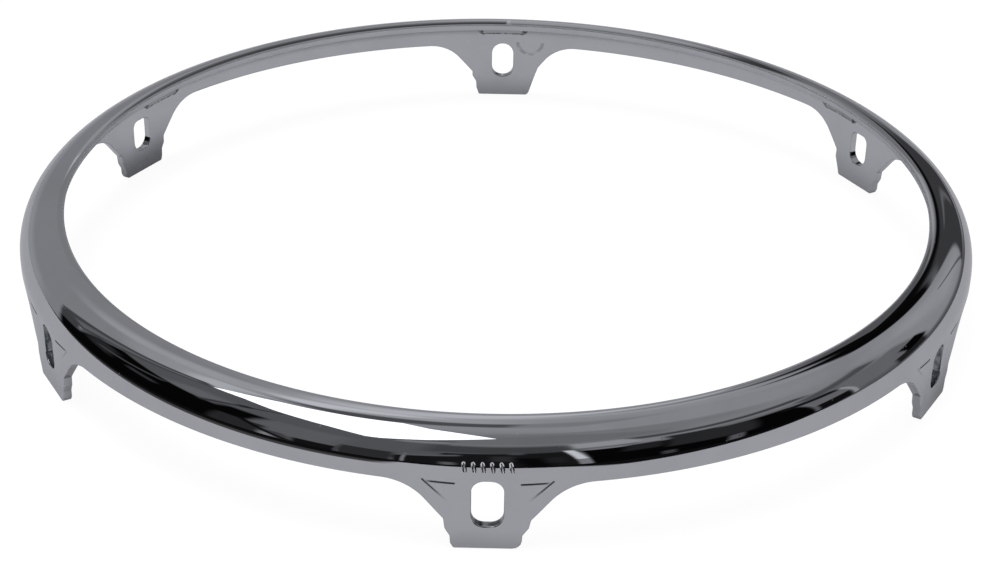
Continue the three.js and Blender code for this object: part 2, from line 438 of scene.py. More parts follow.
# Each slot is dressed by hand too: half width, lower end, upper end, upper rounding, lower rounding.
SLOTS = {
    "front": (5.05, 8.2, 25.1, 4.1, 4.1), "right_front": (4.9, 8.3, 24.2, 4.6, 4.4),
    "right_back": (5.0, 9.2, 22.8, 3.0, 4.8), "back": (4.85, 9.2, 24.9, 4.7, 4.6),
    "left_back": (5.0, 9.3, 23.0, 3.0, 4.8), "left_front": (4.9, 8.6, 24.7, 4.6, 4.4),
}


def slot_outline(place):
    half, low, high, upper, lower = SLOTS[place]
    corners = ((half - upper, high - upper, upper), (upper - half, high - upper, upper),
               (lower - half, low + lower, lower), (half - lower, low + lower, lower))
    points = []
    for quarter, (x, z, size) in enumerate(corners):
        for i in range(SLOT_STEPS + 1):
            turn = math.radians(90 * (quarter + i / SLOT_STEPS))
            points.append((x + size * math.cos(turn), z + size * math.sin(turn)))
    return points


print("points in a slot's outline:", len(slot_outline("front")))

# %% [markdown]
# Beside each slot are two pressed creases, one level and one slanting, where the press bent the plate.
# Each is the print of a thin chisel: a small diamond pushed along its line and drawn in to a point at
# its fading end. They are cut into the plain blank, while its faces are still simple.

# %% Creases
CREASES = (((10.2, 24.2), (19.2, 24.6)), ((20.2, 25.2), (13.0, 18.2)))
CREASE_SIZES = ((0.42, 0.55), (0.25, 0.28))
CREASE_LIFT, CREASE_TIP_SHARE = 0.11, 0.15


def on_face(x, z):
    """A point of the lug's outer face."""
    return Vector((x, -math.sqrt(OUTER_R ** 2 - x ** 2), z))


def crease_tool(start, end, half, deep):
    """A thin chisel on the lug's face, deepest at its start and running out to a point at its end."""
    here, there = on_face(*start), on_face(*end)
    out = Vector((here.x + there.x, here.y + there.y, 0)).normalized()
    here, there = here + CREASE_LIFT * out, there + CREASE_LIFT * out
    along = (there - here).normalized()
    aside = along.cross(out)
    wide, high = half * aside, deep * out
    tool = draw_outline("chisel", [here + wide, here + high, here - wide, here - high])
    push(there - here)
    bpy.ops.transform.resize(value=(CREASE_TIP_SHARE,) * 3, center_override=there * MM)
    face_outwards()
    bpy.ops.object.mode_set(mode="OBJECT")
    return tool


for (start, end), size in zip(CREASES, CREASE_SIZES):
    for side in (-1, 1):
        cut_with(blank, crease_tool((side * start[0], start[1]), (side * end[0], end[1]), *size))
print("blank with creases:", len(blank.data.polygons), "faces")

# %% Press, slot and round a lug
CUT_FRONT, CUT_DEPTH = -186.0, 24.0
SHARP = math.radians(40)
AT_TOP, AT_END_TURN, END_DROP, THROUGH = 0.05, 0.02, 0.3, 1.5


def upright_tool(name, outline):
    tool = draw_outline(name, [(x, CUT_FRONT, z) for x, z in outline])
    push((0, CUT_DEPTH, 0))
    face_outwards()
    bpy.ops.object.mode_set(mode="OBJECT")
    return tool


def by_crease(point):
    """True for a point close to a crease, seen from the front."""
    here = Vector((abs(point.x), point.z)) / MM
    for start, end in CREASES:
        first, line = Vector(start), Vector(end) - Vector(start)
        share = min(1.0, max(0.0, (here - first).dot(line) / line.length_squared))
        if (here - first - share * line).length < NEAR:
            return True
    return False


def cut_edge(edge):
    """True for a sharp edge of a lug that isn't part of its joint with the ring or of a crease."""
    if len(edge.link_faces) != 2 or edge.calc_face_angle() < SHARP:
        return False
    a, b = (vert.co for vert in edge.verts)
    at_top = min(a.z, b.z) > (SEAM_Z - AT_TOP) * MM
    at_end = min(abs(angle_of(a)), abs(angle_of(b))) > LUG_SPAN - AT_END_TURN
    upright = abs(a.z - b.z) > END_DROP * MM
    through = abs(from_axis(a) - from_axis(b)) > THROUGH
    return not (at_top or (at_end and upright) or through or by_crease((a + b) / 2))


def press_lug(place):
    """A finished lug plate, still at the front, cut from a copy of the bent blank."""
    lug = copy_of(blank, f"lug_plate_{place}_shaped")
    cut_with(lug, upright_tool("outline_tool", lug_outline(place)), "INTERSECT")
    cut_with(lug, upright_tool("slot_tool", slot_outline(place)))
    open_for_editing(lug)
    edges = choose("EDGE", cut_edge)
    round_edges(EDGE_ROUND, 3)
    bpy.ops.object.mode_set(mode="OBJECT")
    print(lug.name, "rounded edges:", edges, "faces:", len(lug.data.polygons))
    return lug


# %% Turn pieces to their places
def turn_to(piece, place):
    """Turn a front piece about the hoop's axis to the place of one lug."""
    pick_only(piece)
    piece.rotation_euler.z = math.radians(LUG_PITCH * LUG_PLACES.index(place))
    bpy.ops.object.transform_apply(location=True, rotation=True, scale=True)


lugs = {}
for place in LUG_PLACES:
    lugs[place] = press_lug(place)
    turn_to(lugs[place], place)
bpy.data.objects.remove(blank)

# %% [markdown]
# Under the crown a short strap lines each lug's place, from the lip outwards, and braces the bend. It
# is the strap's thin end that shows just under the lip above the back lugs. It is a flat band spun to
# the ring's curve and cut off square on both sides. At the lip its end reaches up to fill the round of
# the lip's lower corner, so that both ends are flush.

# %% Brace strap
STRAP_HALF, STRAP_IN, STRAP_END = 8.8, 7.8, 62.0
STRAP_SWING, STRAP_SLICES, STRAP_STEPS, STRAP_ROUND = 3.3, 8, 20, 0.3
STRAP_OUT = INSIDE_R - 0.02
LIP_FILL_R, LIP_FILL_TURN = INSIDE_R + 0.45, 3.0
strap_section = [crown_point(LIP_FILL_R, -LIP_ANGLE)]
strap_section += crown_arc(STRAP_OUT, LIP_FILL_TURN - LIP_ANGLE, STRAP_END, STRAP_STEPS)
strap_section += crown_arc(STRAP_IN, STRAP_END, -LIP_ANGLE, STRAP_STEPS)
swing = Quaternion((0, 0, 1), math.radians(-STRAP_SWING))
strap = draw_outline("brace_strap_front_shaped", [swing @ point for point in strap_section])
spin(STRAP_SLICES, 2 * STRAP_SWING)
for side in (-1, 1):
    choose_all()
    cut_at, cut_way = (side * STRAP_HALF * MM, 0, 0), (side, 0, 0)
    bpy.ops.mesh.bisect(plane_co=cut_at, plane_no=cut_way, use_fill=True, clear_outer=True)


def strap_corner(edge):
    """True for the strap's sharp edges on its open side, away from the crown."""
    a, b = (vert.co for vert in edge.verts)
    deep = min(math.hypot(from_axis(p) - CROWN_CENTRE_R, p.z / MM - CROWN_CENTRE_Z) for p in (a, b))
    return deep < STRAP_IN + 0.1 and len(edge.link_faces) == 2 and edge.calc_face_angle() > SHARP


print("strap corner edges:", choose("EDGE", strap_corner))
round_edges(STRAP_ROUND, 2)
face_outwards()
finish_editing(strap)

# %% [markdown]
# A hand-laid weld runs down each side of the strap and fills the corner between strap and crown. It
# was laid drop by drop, so its thickness swells and shrinks along the way. The bead is a flattened
# ring of points, slanting from the strap's edge out to the crown, that is spun along the crown's curve.
# Then each ring of the bead is scaled a little by its own amount.

# %% Weld beads
BEAD_LONG, BEAD_SHORT, BEAD_SLANT = 2.0, 0.85, 40.0
BEAD_PATH_R, BEAD_SIDES, BEAD_STEPS = 8.75, 14, 40
BEAD_START, BEAD_END = -17.0, 30.0
BEAD_ASIDE = 0.75
DROPS, BODY_SHARE, DROP_SHARE, UNEVEN_SHARE, UNEVEN_TURN = 9, 0.86, 0.13, 0.05, 1.9
TAIL_FROM_SHARE, TAIL_LOSS_SHARE = 0.8, 0.45


def bead_swell(number):
    """How thick the bead is at one of its rings, with drops of uneven size and a thin far end."""
    share = number / BEAD_STEPS
    drops = DROP_SHARE * abs(math.sin(share * math.pi * DROPS))
    uneven = UNEVEN_SHARE * math.sin(number * UNEVEN_TURN)
    tail = max(0.0, share - TAIL_FROM_SHARE) / (1 - TAIL_FROM_SHARE)
    return (BODY_SHARE + drops + uneven) * (1 - TAIL_LOSS_SHARE * tail)


def weld_bead(name, side):
    x = side * (STRAP_HALF + BEAD_ASIDE)
    centre_y = -math.sqrt(CROWN_CENTRE_R ** 2 - x ** 2)

    def path(degrees):
        turn = math.radians(degrees)
        y, z = centre_y - BEAD_PATH_R * math.sin(turn), CROWN_CENTRE_Z + BEAD_PATH_R * math.cos(turn)
        return Vector((x, y, z))

    start_out = section_way(BEAD_START)
    slant = math.radians(BEAD_SLANT)
    long_way = math.cos(slant) * Vector((side, 0, 0)) + math.sin(slant) * start_out
    short_way = -math.sin(slant) * Vector((side, 0, 0)) + math.cos(slant) * start_out
    outline = []
    for i in range(BEAD_SIDES):
        turn = 2 * math.pi * i / BEAD_SIDES
        along, across = BEAD_LONG * math.cos(turn) * long_way, BEAD_SHORT * math.sin(turn) * short_way
        outline.append(path(BEAD_START) + along + across)
    bead = draw_outline(name, outline)
    spin(BEAD_STEPS, BEAD_END - BEAD_START, (x, centre_y, CROWN_CENTRE_Z), (1, 0, 0))
    spacing = (BEAD_END - BEAD_START) / BEAD_STEPS
    for number in range(BEAD_STEPS + 1):
        here = BEAD_START + spacing * number
        middle = path(here) * MM

        def on_ring(vert):
            turned = math.degrees(math.atan2(centre_y * MM - vert.co.y, vert.co.z - CROWN_CENTRE_Z * MM))
            return abs(turned - here) < 0.4 * spacing

        choose("VERT", on_ring)
        bpy.ops.transform.resize(value=(bead_swell(number),) * 3, center_override=middle)
    face_outwards()
    finish_editing(bead)
    return bead


welds = {"a": weld_bead("strap_weld_a_front_shaped", -1), "b": weld_bead("strap_weld_b_front_shaped", 1)}

# %% [markdown]
# The strap and its two welds repeat at every lug. Each copy has its own mesh and is turned to its
# place, and then each piece is tied to the body, the finish and the CAD node that it stands for.

# %% Copies round the hoop
def copies_of(piece, stem):
    """The front piece and its copies at the other five lugs, by place."""
    pieces = {"front": piece}
    for place in LUG_PLACES[1:]:
        pieces[place] = copy_of(piece, stem.format(place))
        turn_to(pieces[place], place)
    return pieces


straps = copies_of(strap, "brace_strap_{}_shaped")
beads = {key: copies_of(bead, "strap_weld_" + key + "_{}_shaped") for key, bead in welds.items()}

# Each piece, the CAD node that it stands for, and its finish.
PIECES = [(ring, "crown_ring", "ring_chrome")]
for place in LUG_PLACES:
    PIECES.append((lugs[place], f"lug_plate_{place}", "lug_chrome"))
    PIECES.append((straps[place], f"brace_strap_{place}", "strap_chrome"))
    PIECES += [(beads[key][place], f"strap_weld_{key}_{place}", "weld_plated") for key in beads]
for piece, node, slot in PIECES:
    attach(piece, "root")
    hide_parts(node)
print("pieces:", len(PIECES))

# %% [markdown]
# Smooth shading bends the light over the small flat faces, and real corners stay sharp where they
# turn by more than a set angle. Weighted normals then keep the big faces flat beside their rounds.

# %% Smooth shading
# For each finish: the angle that stays sharp, and whether the normals are weighted.
SMOOTHING = {"ring_chrome": (35, False), "lug_chrome": (35, True), "strap_chrome": (35, True),
             "weld_plated": (60, False)}


def smooth(piece, degrees, weighted):
    pick_only(piece)
    bpy.ops.object.shade_smooth_by_angle(angle=math.radians(degrees))
    if weighted:
        even = piece.modifiers.new("even normals", "WEIGHTED_NORMAL")
        even.keep_sharp = True
        bpy.ops.object.modifier_apply(modifier=even.name)


for piece, node, slot in PIECES:
    smooth(piece, *SMOOTHING[slot])
print("smoothed pieces:", len(PIECES))

# %% [markdown]
# Now the finishes. Everything is chrome plate over steel, and what sets the pieces apart is how well
# the steel was polished first. A material is a tree of nodes, so a few helpers write sums in it. A
# linked value knows its own tree, so each new node is put into the tree of the values it works on.

# %% Helpers for node trees
def feed(socket, value):
    """Link an output to a socket, or set a plain value on it."""
    if isinstance(value, bpy.types.NodeSocket):
        socket.id_data.links.new(value, socket)
    else:
        socket.default_value = value


def put(tree, kind, inputs=None, **settings):
    """Add a node, set its properties by name, and feed its inputs, given by name or number."""
    node = tree.nodes.new("ShaderNode" + kind)
    for key, value in settings.items():
        setattr(node, key, value)
    for key, value in (inputs or {}).items():
        feed(node.inputs[key], value)
    return node


def tree_of(values):
    """The node tree that the linked ones among some values belong to."""
    return next(value.id_data for value in values if isinstance(value, bpy.types.NodeSocket))


def maths(operation, *values):
    return put(tree_of(values), "Math", dict(enumerate(values)), operation=operation).outputs[0]


def plus(first, second):
    return maths("ADD", first, second)


def less(first, second):
    return maths("SUBTRACT", first, second)


def times(first, *others):
    for value in others:
        first = maths("MULTIPLY", first, value)
    return first


def greatest(first, *others):
    for value in others:
        first = maths("MAXIMUM", first, value)
    return first


def plus_shares(total, *pairs):
    """A total with a share of each value added to it; the pairs are values and shares."""
    for value, share in pairs:
        total = maths("MULTIPLY_ADD", value, share, total)
    return total


def length(across, up):
    return maths("SQRT", plus(times(across, across), times(up, up)))


def ramp(value, low, high, to_low=0.0, to_high=1.0):
    """A smooth step from one value to another."""
    inputs = {"Value": value, "From Min": low, "From Max": high, "To Min": to_low, "To Max": to_high}
    return put(value.id_data, "MapRange", inputs, interpolation_type="SMOOTHSTEP").outputs["Result"]


# %% Helpers for patterns, colours and groups
def noise(vector, scale, detail=3.0, roughness=0.5):
    inputs = {"Vector": vector, "Scale": scale, "Detail": detail, "Roughness": roughness}
    return put(vector.id_data, "TexNoise", inputs).outputs["Fac"]


def parts_of(vector):
    """The X, Y and Z outputs of a vector taken apart."""
    return put(vector.id_data, "SeparateXYZ", {0: vector}).outputs


def object_point(tree):
    return put(tree, "TexCoord").outputs["Object"]


def blend_colour(factor, first, second):
    tree = tree_of((factor, first, second))
    return put(tree, "Mix", {"Factor": factor, 6: first, 7: second}, data_type="RGBA").outputs[2]


def new_group(name, inputs=()):
    """An empty node group with plain number inputs."""
    group = bpy.data.node_groups.new(name, "ShaderNodeTree")
    for label in inputs:
        group.interface.new_socket(name=label, in_out="INPUT", socket_type="NodeSocketFloat")
    return group


def close_group(group, outputs):
    """Give a group its outputs, each fed by the value made for it inside."""
    for label, value in outputs.items():
        kind = "NodeSocketVector" if value.type == "VECTOR" else "NodeSocketFloat"
        group.interface.new_socket(name=label, in_out="OUTPUT", socket_type=kind)
    result = group.nodes.new("NodeGroupOutput")
    for label, value in outputs.items():
        feed(result.inputs[label], value)
    print(group.name, "puts out:", ", ".join(outputs))


def place_group(tree, group, inputs=None):
    """Put a group into a tree and give back its outputs."""
    return put(tree, "Group", inputs, node_tree=group).outputs


# %% [markdown]
# Shared effects are built once as node groups. The first group gives each material a map of the hoop:
# the distance along the rim, the place in the crown's section, and masks for what nobody polishes as
# carefully as the outside: the inner side, the cut end of the lip, and the creases that the press left
# beside each slot, where the plating is duller and a painted shade darkens it.

# %% Map of the hoop
CREASE_FADES = ((7.0, 9.6), (4.0, 11.5))
CREASE_HALF, SLANT_SHARES, FRONT_LUGS_Y = 0.5, (0.1, 0.75), (-0.14, -0.16)
LIP_TURN, LIP_RISE = 5, 2
SLOT_OUT_X, SLOT_IN_X, SLOT_OUT_Z, SLOT_IN_Z = 7, 6, 5, 6
hoop_map = new_group("hoop_map")
point = object_point(hoop_map)
x, y, z = parts_of(point)
radius = length(x, y)
angle = maths("ARCTAN2", x, times(y, -1.0))
across, lift = less(radius, CROWN_CENTRE_R * MM), less(z, CROWN_CENTRE_Z * MM)
depth = length(across, maths("MAXIMUM", lift, 0.0))
section_turn = maths("DEGREES", maths("ARCTAN2", across, lift))
lip = times(ramp(section_turn, LIP_TURN - LIP_ANGLE, -LIP_ANGLE), ramp(lift, 0.0, LIP_RISE * MM))


def line_mask(side, start, end, before, after):
    """A soft mask round a crease; it fades out between two distances along the line, in millimetres."""
    way = (Vector(end) - Vector(start)).normalized()
    right, up = less(side, start[0] * MM), less(z, start[1] * MM)
    on = plus(times(right, way.x), times(up, way.y))
    off = maths("ABSOLUTE", less(times(right, way.y), times(up, way.x)))
    near = times(ramp(off, CREASE_HALF * MM, 0.4 * CREASE_HALF * MM), ramp(on, -0.4 * MM, 0.1 * MM))
    return times(near, ramp(on, after * MM, before * MM))


aside = times(maths("ABSOLUTE", maths("WRAP", angle, math.pi / 6, -math.pi / 6)), OUTER_R * MM)
level, slanting = (line_mask(aside, *ends, *fade) for ends, fade in zip(CREASES, CREASE_FADES))
# The crease mask sets where painted shade darkens the creases; the slanting creases of all lugs but the
# front one get little of it.
crease = greatest(level, times(slanting, ramp(y, *FRONT_LUGS_Y, *SLANT_SHARES)))
inside_face = ramp(radius, (OUTER_R - 0.5) * MM, (OUTER_R - 1.2) * MM)
inside_back = ramp(radius, (INNER_R - 0.1) * MM, (INNER_R + 0.5) * MM)
round_slot = times(ramp(aside, SLOT_OUT_X * MM, SLOT_IN_X * MM), ramp(z, SLOT_OUT_Z * MM, SLOT_IN_Z * MM))
close_group(hoop_map, {
    "Point": point, "Along": times(angle, CROWN_CENTRE_R * MM), "Radius": radius, "Height": z,
    "Section radius": depth, "Inner side": ramp(depth, (INSIDE_R + 1.2) * MM, (INSIDE_R + 0.3) * MM),
    "Lip": lip, "Crease": times(crease, ramp(radius, (OUTER_R - 2) * MM, (OUTER_R - 1) * MM)),
    "Slot wall": times(round_slot, inside_face, inside_back)})

# %% [markdown]
# The second group is the plating itself. Even a good chrome rim is slightly wavy from rolling, has a
# faint haze in patches, fine buffing lines that run along the rim, and a few pits as small as dust.

# %% Plating group
plating = new_group("plating", ("Wave size", "Haze size", "Line size", "Pit size"))
given = plating.nodes.new("NodeGroupInput").outputs
spot = place_group(plating, hoop_map)
point = spot["Point"]


def grain(size):
    """The scale at which a pattern's spots have a given size."""
    return maths("DIVIDE", 1.0, given[size])


stretched = times(spot["Along"], 0.012)
combed = put(plating, "CombineXYZ", {"X": stretched, "Y": spot["Radius"], "Z": spot["Height"]})
pit_noise = put(plating, "TexVoronoi", {"Vector": point, "Scale": grain("Pit size")}, feature="F1")
sparse = ramp(noise(point, 160.0, 2.0), 0.55, 0.68)
close_group(plating, {
    "Waves": noise(point, grain("Wave size"), 1.0, 0.4),
    "Haze": ramp(noise(point, grain("Haze size"), 5.0, 0.62), 0.38, 0.72),
    "Lines": ramp(noise(combed.outputs[0], grain("Line size"), 2.0, 0.6), 0.5, 0.78),
    "Pits": times(ramp(pit_noise.outputs["Distance"], 0.12, 0.05), sparse)})

# %% [markdown]
# Some marks belong to single places, and most of them are painted light. The strap's thin end has
# painted shade in dashes along its lowest edge, under the lip. The back lug keeps a faint round mark
# from the clamp that held it, the walls of the front slots have streaks of painted shade, and the feet
# of two lugs are darkened by painted shade. The punch marks get a painted highlight: their floors and
# walls are a little brighter than the crown round them.

# %% Painted shade, painted highlights and marks of single places
CLAMP_X, CLAMP_Z, CLAMP_R = 12.4, 26.0, 5.6
BACK_LUG_Y, FRONT_HALF_Y, PUNCHED_Y = (0.10, 0.12), (0.0, -0.05), (-0.165, -0.17)
STRAP_SHADE_OUT_R, STRAP_SHADE_IN_R = 8.7, 8.1
PUNCHED_OUT_R, PUNCHED_IN_R, PUNCHED_OUT_X, PUNCHED_IN_X = 12.86, 12.72, 11.5, 10.5
FOOT_FADE = 14


def painted_strap_end_shade(spot):
    """Painted shade in dashes along the lowest edge of a strap's end, under the lip."""
    edge = ramp(spot["Section radius"], STRAP_SHADE_OUT_R * MM, STRAP_SHADE_IN_R * MM)
    return times(edge, spot["Lip"], ramp(noise(spot["Point"], 700.0, 2.0), 0.36, 0.56))


def clamp_print(spot):
    """The lower half of a faint ring on the back lug, beside its slot."""
    x, y, z = parts_of(spot["Point"])
    right, up = less(x, CLAMP_X * MM), less(z, CLAMP_Z * MM)
    ring = ramp(maths("ABSOLUTE", less(length(right, up), CLAMP_R * MM)), 1.1 * MM, 0.3 * MM)
    patchy = times(ramp(noise(spot["Point"], 500.0), 0.3, 0.6), 0.34)
    return times(ring, ramp(up, 0.6 * MM, -0.6 * MM), ramp(y, *BACK_LUG_Y, 0, patchy))


def painted_slot_wall_shade(spot):
    """Painted shade in streaks on the walls of the slots in the front half."""
    streaks = ramp(noise(spot["Point"], 260.0), 0.35, 0.65, 0.25, 0.85)
    return times(spot["Slot wall"], ramp(parts_of(spot["Point"])["Y"], *FRONT_HALF_Y, 0, streaks))


def painted_foot_shade(spot, top, share, x_fade, y_fade):
    """Painted shade on one lug's foot, up to a height; its x and y keep it off the other lugs."""
    x, y, z = parts_of(spot["Point"])
    return times(ramp(z, top * MM, (top - FOOT_FADE) * MM, 0, share), ramp(x, *x_fade), ramp(y, *y_fade))


# The clamp print is a real mark; the slot walls and the feet of two lugs get painted shade.
def lug_shade_and_marks(spot):
    left_back = painted_foot_shade(spot, 15, 0.45, (-0.10, -0.13), (0.0, 0.03))
    right_front = painted_foot_shade(spot, 16, 0.4, (0.149, 0.159), (0.0, -0.03))
    return greatest(clamp_print(spot), painted_slot_wall_shade(spot), left_back, right_front)


def painted_mark_glints(spot):
    """A painted highlight on the floors and walls of the punch marks, below the crown's outside at the very
    front.
    """
    axes = parts_of(spot["Point"])
    below = ramp(spot["Section radius"], PUNCHED_OUT_R * MM, PUNCHED_IN_R * MM)
    nearby = ramp(maths("ABSOLUTE", axes["X"]), PUNCHED_OUT_X * MM, PUNCHED_IN_X * MM)
    return times(below, nearby, ramp(axes["Y"], *PUNCHED_Y))


# %% [markdown]
# Each finish puts the plating group to use with its own values. The mirror finish of the ring is the
# clearest, the lugs are a touch softer, and the strap under the crown was plated without polishing.
# The welds were plated over as they lay, so they are rough and darker, with a sooty grain in patches.

# %% Chrome finishes
CHROME = (0.555, 0.570, 0.610)
CHROME_EDGE = (0.85, 0.85, 0.87, 1)
# The paler colour of the painted highlight in the punch marks.
PAINTED_GLINT = (0.95, 0.96, 0.98, 1)
# The dark colour of painted shade, also used for the real clamp print.
SHADE_AND_MARK_DARK = (0.035, 0.035, 0.038, 1)
PLATING_SIZES = {"Wave size": 0.045, "Haze size": 0.03, "Line size": 0.0009, "Pit size": 0.0022}


def plated_metal(name):
    """A metal material with its shader and its map of the hoop."""
    material = bpy.data.materials.new(name)
    material.use_nodes = True
    shader = material.node_tree.nodes["Principled BSDF"]
    shader.inputs["Metallic"].default_value = 1.0
    return material, shader, place_group(material.node_tree, hoop_map)


def cover(shader, colour, rough, height):
    """Feed the shader its colour, its roughness and the bumps of a height in metres."""
    bump = put(shader.id_data, "Bump", {"Strength": 1.0, "Distance": 1.0, "Height": height})
    for label, value in (("Base Color", colour), ("Roughness", rough), ("Normal", bump.outputs["Normal"])):
        feed(shader.inputs[label], value)


def chrome_finish(name, colour, dull_colour, polish, wave_height, line_depth, darken=None, brighten=None):
    """Chrome plate: polish is a roughness, the height and the depth are in millimetres, darken is a
    function of painted shade and marks with its share, and brighten is a function of painted glints."""
    material, shader, spot = plated_metal(name)
    shader.inputs["Specular Tint"].default_value = CHROME_EDGE
    plate = place_group(material.node_tree, plating, PLATING_SIZES)
    haze, lines, pits = plate["Haze"], plate["Lines"], plate["Pits"]
    inner, lip = spot["Inner side"], spot["Lip"]
    metal = blend_colour(greatest(times(haze, 0.35), times(pits, 0.7)), (*colour, 1), (*dull_colour, 1))
    # A painted highlight: the punch marks get a paler colour, so that they glint.
    if brighten:
        metal = blend_colour(brighten(spot), metal, PAINTED_GLINT)
    # Painted shade: the creases, and the places that darken gives, are blended towards a dark colour.
    dark = times(spot["Crease"], 0.9)
    if darken:
        marks, share = darken
        dark = greatest(dark, times(marks(spot), share))
    lip_edge = ramp(spot["Section radius"], 12.2 * MM, 12.7 * MM, 0, 0.35)
    rough = plus_shares(polish, (haze, 0.5 * polish), (lines, 0.6 * polish), (pits, 0.25), (inner, 0.10),
                        (lip, 0.32), (lip, lip_edge), (dark, 0.25))
    peel = times(noise(spot["Point"], 420.0, 2.0), inner)
    height = plus_shares(0.0, (plate["Waves"], wave_height * MM), (lines, -line_depth * MM),
                         (pits, -0.01 * MM), (peel, 0.012 * MM))
    cover(shader, blend_colour(dark, metal, SHADE_AND_MARK_DARK), rough, height)
    return material


def weld_finish():
    material, shader, spot = plated_metal("plated_weld")
    rough_grain = noise(spot["Point"], 1500.0, 4.0, 0.65)
    soot = ramp(noise(spot["Point"], 420.0, 3.0), 0.35, 0.7)
    metal = blend_colour(soot, (0.30, 0.30, 0.31, 1), (0.10, 0.095, 0.09, 1))
    cover(shader, metal, plus_shares(0.28, (rough_grain, 0.25)), times(rough_grain, 0.10 * MM))
    return material


FINISHES = {
    "ring_chrome": chrome_finish("mirror_chrome", CHROME, (0.46, 0.47, 0.50), 0.018, 0.10, 0.0002,
                                 brighten=painted_mark_glints),
    "lug_chrome": chrome_finish("lug_chrome_plate", CHROME, (0.47, 0.48, 0.51), 0.05, 0.05, 0.0004,
                                darken=(lug_shade_and_marks, 1.0)),
    "strap_chrome": chrome_finish("strap_plate", (0.50, 0.51, 0.54), (0.26, 0.26, 0.27), 0.14, 0.08, 0.001,
                                  darken=(painted_strap_end_shade, 0.9)),
    "weld_plated": weld_finish(),
}
print("finishes:", sorted(FINISHES))

# %% Dress the pieces
def dress(piece, material):
    piece.data.materials.clear()
    piece.data.materials.append(material)


for piece, node, slot in PIECES:
    dress(piece, FINISHES[slot])
    dress(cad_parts[node], FINISHES[slot])
print("dressed pieces and nodes:", len(PIECES), len(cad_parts))

# %% [markdown]
# The room. Chrome shows what stands round it, so the room is built from soft-edged cards painted on
# the world by direction: an azimuth from the front, growing to the right, and an elevation. A card
# can lean to the right with height, or rise to the right, and it has the grey that chrome will show.
# Later cards hang in front of earlier ones. The camera itself sees plain white behind the hoop.

# %% Room card group
room_card = new_group("room_card", (
    "Azimuth", "Elevation", "Centre azimuth", "Centre elevation", "Half width", "Half height",
    "Feather", "Lean", "Rise", "Tone", "Room"))
given = room_card.nodes.new("NodeGroupInput").outputs


def inside_card(distance, half):
    return ramp(distance, plus(half, given["Feather"]), less(half, given["Feather"]))


def less_slant(distance, other, slant):
    """The distance once a slanted edge is made straight, without its sign."""
    return maths("ABSOLUTE", less(distance, times(other, slant)))


turned = maths("WRAP", less(given["Azimuth"], given["Centre azimuth"]), 180.0, -180.0)
raised = less(given["Elevation"], given["Centre elevation"])
aside, above = less_slant(turned, raised, given["Lean"]), less_slant(raised, turned, given["Rise"])
mask = times(inside_card(aside, given["Half width"]), inside_card(above, given["Half height"]))
step = less(given["Tone"], given["Room"])
close_group(room_card, {"Room": plus_shares(given["Room"], (mask, step))})

# %% Cards of the room
CHROME_SHARE = 0.575
ROOM_GREY = 123


def tone(grey):
    """The light a card gives so that chrome shows it as this grey, 0 to 255."""
    share = grey / 255
    linear = share / 12.92 if share <= 0.04045 else ((share + 0.055) / 1.055) ** 2.4
    return linear / CHROME_SHARE


